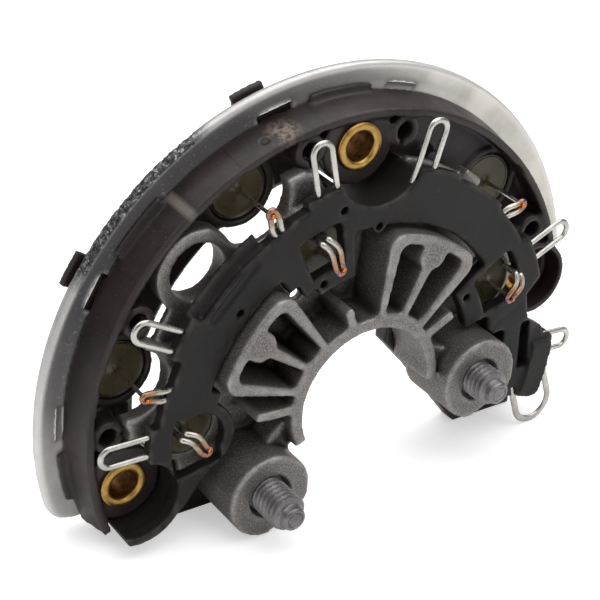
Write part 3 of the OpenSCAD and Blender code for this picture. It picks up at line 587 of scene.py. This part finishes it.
def rough_rim(obj):
    """Draws the cast part of the rim inwards by a sum of sines of the turn and depth, so that its outline is ragged."""
    mesh = obj.data
    co = read_mesh(mesh)[0] / MM
    x, z = co[:, 0] - AXIS_X, co[:, 2] - AXIS_Z
    radius = np.hypot(x, z)
    turn = np.degrees(np.arctan2(z, x)) - STANCE_TURN
    zone = np.clip((turn - 113) / 2, 0, 1) * np.clip((147 - turn) / 2, 0, 1) * np.clip((radius - 64.2) / 1.2, 0, 1)
    wave = sum(np.sin(turn * k + co[:, 1] * q + k) for k, q in ((2.3, 1.1), (5.9, 2.7), (11.3, 4.1), (19.7, 1.7))) / 4
    pull = zone * (0.16 + 0.36 * np.clip(wave, -0.4, 1))
    co[:, 0] -= x / radius * pull
    co[:, 2] -= z / radius * pull
    mesh.vertices.foreach_set("co", (co * MM).ravel())
    mesh.update()


def slot_burr(a):
    """Thin ragged sliver along the outer edge of a slot: a narrow tube whose radius and place waver along its arc."""
    t = np.linspace(-3.5, 3.3, 60)
    wave = np.sin(t * 3.1 + a) * 0.5 + np.sin(t * 7.7 + a * 2) * 0.3
    angle = np.radians(a + t)
    r = 61.75 + 0.1 * wave
    fade = np.sin(np.linspace(0.03, 0.97, 60) * math.pi) ** 0.5
    path = np.stack([r * np.cos(angle), r * np.sin(angle), np.full(60, 1.95)], -1)
    (verts, faces), _ = sweep(path, fade * (0.17 + 0.07 * wave), fade * (0.26 + 0.1 * wave), sides=8)
    return make_piece("slot_burr_%d" % round(a), verts, faces, "burr", smooth=60)


def snap_shoulder(a):
    """Block of the snap hook that fills its slot: a section with rounded corners carried along an arc of the ring."""
    t = np.linspace(0, 2 * math.pi, 24, endpoint=False)
    c, s = np.cos(t), np.sin(t)
    r = 60.1 + 1.35 * np.sign(c) * np.abs(c) ** 0.4
    h = 0.2 + 1.0 * np.sign(s) * np.abs(s) ** 0.4
    turn = a + np.linspace(-3.55, 3.55, 16)[:, None]
    verts, faces = capped_grid(ring(np.broadcast_to(r, (16, 24)), np.broadcast_to(turn, (16, 24)), np.broadcast_to(h, (16, 24))))
    return make_piece("snap_shoulder_%d" % round(a), verts, faces, "insulator_ring")


# Studs, bushings and diodes


def stud(name):
    """Metric thread: radius falls from the crest to the root as a rounded saw of the turn angle minus the height."""
    a, length = STUD_ANGLES[name], STUD_LENGTHS[name]
    centre = polar(STUD_ROW_R, a)
    crest, depth, pitch, tip_r, tip_len = 3.95, 0.68, 1.25, 2.55, 2.0
    base = BOSS_H - 1.45
    top = BOSS_H + length - tip_len
    sides, rows = 72, int((top - base) / 0.07)
    h = np.linspace(base, top, rows)[:, None]
    t = np.linspace(0, 2 * math.pi, sides, endpoint=False)[None]
    phase = (h / pitch - t / (2 * math.pi)) % 1.0
    tooth = np.clip(np.abs(phase - 0.5) * 2 * 1.35 - 0.12, 0, 1)
    run_out = np.clip((top - h) / 0.5, 0, 1)
    start = np.clip((h - base) / 0.5, 0, 1)
    r = (crest - depth * tooth * start) * (0.80 + 0.20 * run_out ** 0.6)
    end = top + tip_len
    tip = np.array([[2.75, top + 0.02], [2.62, top + 0.1], [tip_r, top + 0.25], [tip_r, end - 0.6], [tip_r - 0.1, end - 0.3],
                    [tip_r - 0.35, end - 0.08], [tip_r - 0.6, end - 0.01], [tip_r - 0.75, end - 0.04], [tip_r - 0.85, end - 0.24],
                    [tip_r - 1.0, end - 0.26], [tip_r - 1.15, end - 0.1], [tip_r - 1.35, end - 0.06], [0.3, end - 0.05]])
    shank = np.array([[4.1, base - 8.5], [4.28, base - 8.3], [4.28, base - 0.3], [4.1, base - 0.12], [3.95, base - 0.08]])
    r = np.vstack([np.broadcast_to(shank[:, :1], (len(shank), sides)), r, np.broadcast_to(tip[:, :1], (len(tip), sides))])
    h = np.vstack([np.broadcast_to(shank[:, 1:], (len(shank), sides)), np.broadcast_to(h, (rows, sides)),
                   np.broadcast_to(tip[:, 1:], (len(tip), sides))])
    pts = flat(centre[0] + r * np.cos(t), centre[1] + r * np.sin(t), h)
    verts, faces = capped_grid(pts)
    return make_piece(name + "_thread", verts, faces, "stud", [name])


def bushing(name):
    """Turned brass bushing with a rounded flange and a bell mouthed bore."""
    centre = polar(BUSH_ROW_R, BUSH_ANGLES[name])
    top = BUSH_TOPS[name]
    a = np.linspace(0, math.pi, 9)
    lip = np.stack([4.15 + 0.98 * np.cos(a), top - 0.48 + 0.48 * np.sin(a)], -1)
    mouth = [(3.4, top - 0.75), (3.27, top - 1.3), (3.25, top - 1.9), (3.25, -1.0), (3.45, -1.2), (4.2, -1.2), (4.3, -1.1),
             (4.3, top - 1.0), (5.0, top - 1.0)]
    verts, faces = turned(centre, [*lip, *mouth])
    obj = make_piece(name + "_turned", verts, faces, "brass", [name])
    co = read_mesh(obj.data)[0] / MM
    middle = flat(centre[0], centre[1], 0.0) / MM
    radius = np.hypot(co[:, 0] - middle[0], co[:, 2] - middle[2])
    height = ZERO_Y - co[:, 1]
    # Mask of the inside of the bore, where the brass material paints shade.
    inside = np.clip((top - 0.55 - height) / 0.5, 0, 1) * (radius < 3.6)
    store(obj.data, "bore_shade_mask", inside)
    return obj


def can(name, r, a, top):
    """Pressed-in can: a cup with a rolled rim."""
    centre = polar(r, a)
    lip = [(6.35, top - 0.28), (6.3, top - 0.1), (6.15, top - 0.01), (5.95, top), (5.8, top - 0.05), (5.68, top - 0.2), (5.65, top - 1.48)]
    verts, faces = turned(centre, [(0.01, top - 1.5), (0.01, top - 5.4), (6.2, top - 5.4), (6.35, top - 5.2), *lip, (5.6, top - 1.5)])
    return make_piece(name + "_cup", verts, faces, "can", [name])


def filling(centre, top):
    """Resin that climbs the can's rim and the lead: two raised necks joined by a shallow dish."""
    rr = np.r_[np.linspace(0.3, 2.2, 14), np.linspace(2.5, 5.63, 16)]
    dish = 0.9 * np.exp(-((rr - 0.3) / 0.55)) + 0.22 * np.exp(-((5.63 - rr) / 0.5)) - 0.12 * np.sin(np.clip(rr / 5.63, 0, 1) * math.pi)
    prof = [(r, top - 0.38 + d) for r, d in zip(rr, dish)]
    return turned(centre, [*prof, (5.63, top - 1.5), (0.3, top - 1.5)], sides=72)


OUTER_TOP = 4.1
INNER_TOP = 10.3


def all_fillings():
    """The six fillings as one piece."""
    parts = [filling(polar(OUTER_ROW_R, a), OUTER_TOP) for a in OUTER_ANGLES]
    parts += [filling(polar(r, a), INNER_TOP) for r, a in INNER_SPOTS]
    verts, faces = join(parts)
    return make_piece("resin_fillings", verts, faces, "filling", ["diode_fillings"], smooth=50)


def heated_piece(name, parts, replaced):
    """Piece of several swept wires; each part is (corners, faces, heat per corner)."""
    verts, faces = join([(v, f) for v, f, _ in parts])
    heat = np.concatenate([h for _, _, h in parts])
    mesh = bpy.data.meshes.new(name)
    mesh.from_pydata([tuple(v) for v in verts], [], faces)
    mesh.update()
    obj = bpy.data.objects.new(name, mesh)
    bpy.context.scene.collection.objects.link(obj)
    store(mesh, "weld_tint", heat)
    bm = bmesh.new()
    bm.from_mesh(mesh)
    bmesh.ops.recalc_face_normals(bm, faces=bm.faces)
    bm.to_mesh(mesh)
    bm.free()
    mesh.shade_smooth()
    dress(obj, "heated")
    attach(obj, "root")
    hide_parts(*replaced)
    return obj


def stator_loop(name, a, start, tip=58.9, half=2.15, lean=0.0, wide=0.66, thick=0.5):
    """Flattened wire bent to a U: two straight legs and a half circle, leaning forward by lean at the tip."""
    t = np.linspace(-math.pi / 2, math.pi / 2, 26)
    bend_u = tip - half + half * np.cos(t)
    bend_v = half * np.sin(t)
    leg = np.linspace(start, tip - half, 12)[:-1]
    u = np.r_[leg, bend_u, leg[::-1]]
    v = np.r_[np.full(leg.shape, -half), bend_v, np.full(leg.shape, half)]
    lift = LOOP_H + lean * np.clip((u - start) / (tip - start), 0, 1) ** 1.3
    c, s = math.cos(math.radians(a)), math.sin(math.radians(a))
    path = np.stack([u * c - v * s, u * s + v * c, lift], -1)
    (verts, faces), _ = sweep(path, wide, thick)
    return make_piece(name + "_wire", verts, faces, "tinned", [name], smooth=60)


def resample(path, step=0.22):
    """Same path with corners at equal steps, and the share of its length at each."""
    path = np.asarray(path, float)
    run = np.r_[0, np.cumsum(np.linalg.norm(np.diff(path, axis=0), axis=1))]
    at = np.linspace(0, run[-1], max(int(run[-1] / step), 8))
    return np.stack([np.interp(at, run, path[:, k]) for k in range(3)], -1), at


def lead_and_hook(index, root, lead, top, crest, lead_foot, lead_end):
    """Twin wire from its root in the plate, over a crest and closed round the end of the diode's lead."""
    p, q = polar(*root), polar(*lead)
    d = q - p
    n = np.linalg.norm(d)
    d /= n
    w = np.array([-d[1], d[0]])
    half, r = 0.78, 0.62
    high = crest > TERM_H
    t = np.linspace(-math.pi / 2, math.pi / 2, 16)
    along = np.r_[np.linspace(0, n, 14), n + half * np.cos(t), np.linspace(n, 0, 14)]
    across = np.r_[np.full(14, -half), half * np.sin(t), np.full(14, half)]
    share = np.clip(along / n, 0, 1)
    spread_out = 1.0 + (0.18 if high else 0.32) * np.sin(share * math.pi) ** 2
    bow = (0.55 if high else 0.3) * np.sin(share * math.pi * 1.6)
    lift = top + (crest - top) * np.sin(share * math.pi * 0.62) / math.sin(math.pi * 0.62)
    side = across * spread_out + bow
    path = np.stack([p[0] + d[0] * along + w[0] * side, p[1] + d[1] * along + w[1] * side, lift], -1)
    if high:
        drop = (0, 0, top - TERM_H + 2.6)
        path = np.vstack([path[0] - drop, path, path[-1] - drop])
    path, run = resample(round_path(path, 4, 0.7))
    (verts, faces), rows = sweep(path, r, r * 0.95)
    near = 1 - np.abs(run / run[-1] - 0.5) * 2
    heat = np.clip((near - 0.4) / 0.55, 0, 0.71)
    parts = [(verts, faces, np.repeat(heat, len(verts) // rows))]
    stem = [(q[0], q[1], lead_foot), (q[0] + 0.08, q[1], (lead_foot + lead_end) / 2), (q[0], q[1], lead_end)]
    stem, run = resample(round_path(stem, 8, 2.0))
    (verts, faces), rows = sweep(stem, 0.42, 0.42, up=(1.0, 0.0, 0.0))
    heat = np.clip((run - run[-1] + 1.3) / 0.9, 0.12, 1)
    parts.append((verts, faces, np.repeat(heat, len(verts) // rows)))
    return parts


HOOKS = (((45.2, 113.2), (OUTER_ROW_R, 113.5), 15.3, 15.9, 3.8, 17.0), ((44.9, 160.2), (OUTER_ROW_R, 161.6), 15.3, 15.9, 3.8, 17.0),
         ((46.2, 38.4), (OUTER_ROW_R, 36.9), 15.3, 15.9, 3.8, 17.0), ((39.9, 103.8), (33.0, 101.0), 18.0, 19.2, 10.0, 20.0),
         ((42.3, 172.0), (37.5, 177.0), 18.0, 19.2, 10.0, 20.0), ((42.8, 20.5), (38.9, 15.8), 18.0, 19.2, 10.0, 20.0))


def eyelet():
    """Flat strip bent to an eye: two leaning legs up into the end block and a half circle below."""
    cx, cy, radius, leg, lean = 48.95, -22.45, 4.6, 8.0, math.radians(15)
    t = np.linspace(math.pi, 2 * math.pi, 30)
    u = np.r_[np.full(6, -radius), radius * np.cos(t), np.full(6, radius)]
    v = np.r_[np.linspace(leg, 0, 7)[:-1], radius * np.sin(t), np.linspace(0, leg, 7)[1:]]
    c, s = math.cos(lean), math.sin(lean)
    path = np.stack([cx + u * c - v * s, cy + u * s + v * c, np.full(u.shape, 15.75)], -1)
    (verts, faces), _ = sweep(path, 0.8, 0.43, sides=16)
    return make_piece("eyelet_strip", verts, faces, "tinned", ["eyelet_terminal"], smooth=60)


softened("positive_casting", 0.55, 4)
softened("terminal_plate", 0.4, 1)
softened("insulator_ring", 0.5, 1)
rough_rim(softened("negative_plate", 0.5, 2))
for slot_a in (71.4, 99.9, 146.8, 173.6):
    slot_burr(slot_a)
for snap_a in (99.9, 146.8):
    snap_shoulder(snap_a)
for stud_name in STUD_ANGLES:
    stud(stud_name)
for bushing_name in BUSH_ANGLES:
    bushing(bushing_name)
for can_name, spot_a in zip(("can_outer_right", "can_outer_top", "can_outer_left"), OUTER_ANGLES):
    can(can_name, OUTER_ROW_R, spot_a, OUTER_TOP)
for can_name, spot in zip(("can_inner_right", "can_inner_top", "can_inner_left"), INNER_SPOTS):
    can(can_name, spot[0], spot[1], INNER_TOP)
all_fillings()
for number, (loop_a, loop_start) in enumerate(zip(LOOP_ANGLES, LOOP_STARTS), 1):
    stator_loop("stator_loop_%d" % number, loop_a, loop_start)
stator_loop("end_loop", 351.6, 50.0)
hook_parts = []
for number, hook in enumerate(HOOKS, 1):
    pieces = lead_and_hook(number, *hook)
    heated_piece("lead_hook_%d_wire" % number, pieces, ["lead_hook_%d" % number] + (["diode_leads"] if number == 1 else []))
eyelet()


# Floor, lights and camera


def backdrop():
    """Pale floor that shows white to the camera and keeps the soft shadow."""
    size = 3.0
    mesh = bpy.data.meshes.new("floor")
    mesh.from_pydata([(-size, -size, 0), (size, -size, 0), (size, size, 0), (-size, size, 0)], [], [(0, 1, 2, 3)])
    obj = bpy.data.objects.new("floor", mesh)
    bpy.context.scene.collection.objects.link(obj)
    m, t, s = new_material("floor_white")
    s.inputs["Base Color"].default_value = (0.9, 0.9, 0.9, 1)
    s.inputs["Roughness"].default_value = 0.9
    s.inputs["Specular IOR Level"].default_value = 0.1
    glow = node(t, "ShaderNodeEmission")
    light_path = node(t, "ShaderNodeLightPath")
    seen = math_node(t, "MULTIPLY", light_path.outputs["Is Camera Ray"], 0.45)
    t.links.new(seen, glow.inputs["Strength"])
    add = node(t, "ShaderNodeAddShader")
    t.links.new(s.outputs[0], add.inputs[0])
    t.links.new(glow.outputs[0], add.inputs[1])
    t.links.new(add.outputs[0], t.nodes["Material Output"].inputs["Surface"])
    obj.data.materials.append(m)
    return obj


def area_light(name, place, aim, size, power, colour=(1, 1, 1)):
    """Square softbox at a place, turned to an aim point."""
    data = bpy.data.lights.new(name, "AREA")
    data.shape = "RECTANGLE"
    data.size, data.size_y = size
    data.energy = power
    data.color = colour
    obj = bpy.data.objects.new(name, data)
    obj.location = place
    obj.rotation_euler = (Vector(aim) - Vector(place)).to_track_quat("-Z", "Y").to_euler()
    bpy.context.scene.collection.objects.link(obj)
    return obj


def world():
    """White surround at full strength for the camera and for transmission, softer for reflections and plain light."""
    w = bpy.data.worlds.new("studio")
    w.use_nodes = True
    t = w.node_tree
    bg = t.nodes["Background"]
    path = node(t, "ShaderNodeLightPath")
    seen = math_node(t, "MAXIMUM", path.outputs["Is Camera Ray"], path.outputs["Is Transmission Ray"])
    strength = spread(t, seen, 0.26, 1.0)
    t.links.new(strength, bg.inputs["Strength"])
    bg.inputs["Color"].default_value = (1, 1, 1, 1)
    bpy.context.scene.world = w


def camera():
    """Camera of the photograph, found in the ring's own frame and carried to the standing part."""
    right = np.array([0.834, -0.551, 0.0])
    up = np.array([0.292, 0.441, 0.848])
    back = np.array([-0.468, -0.706, 0.530])
    place = np.array([-168.45, -248.91, 201.15])
    c, s = math.cos(math.radians(STANCE_TURN)), math.sin(math.radians(STANCE_TURN))
    turn = np.array([[c, 0, -s], [0, 1, 0], [s, 0, c]])
    place = (turn @ place + (AXIS_X, ZERO_Y, AXIS_Z)) * MM
    axes = [turn @ v for v in (right, up, back)]
    data = bpy.data.cameras.new("camera")
    data.lens = 102.0
    data.sensor_width = 36.0
    data.sensor_fit = "HORIZONTAL"
    data.clip_start = 0.01
    obj = bpy.data.objects.new("camera", data)
    z = axes[2] / np.linalg.norm(axes[2])
    x = np.cross(axes[1], z)
    x /= np.linalg.norm(x)
    y = np.cross(z, x)
    m = Matrix([[x[0], y[0], z[0], place[0]], [x[1], y[1], z[1], place[1]], [x[2], y[2], z[2], place[2]], [0, 0, 0, 1]])
    obj.matrix_world = m
    bpy.context.scene.collection.objects.link(obj)
    bpy.context.scene.camera = obj


backdrop()
world()
area_light("top_box", (0.15, 0.15, 1.2), (0, 0, 0.04), (2.2, 1.8), 24.0)
area_light("left_box", (-1.3, -0.4, 0.6), (0, 0, 0.04), (0.5, 1.4), 2.6)
area_light("front_box", (0.5, -1.3, 0.8), (0, 0, 0.04), (1.0, 0.7), 3.2)
camera()
bpy.context.scene.view_settings.view_transform = "Standard"
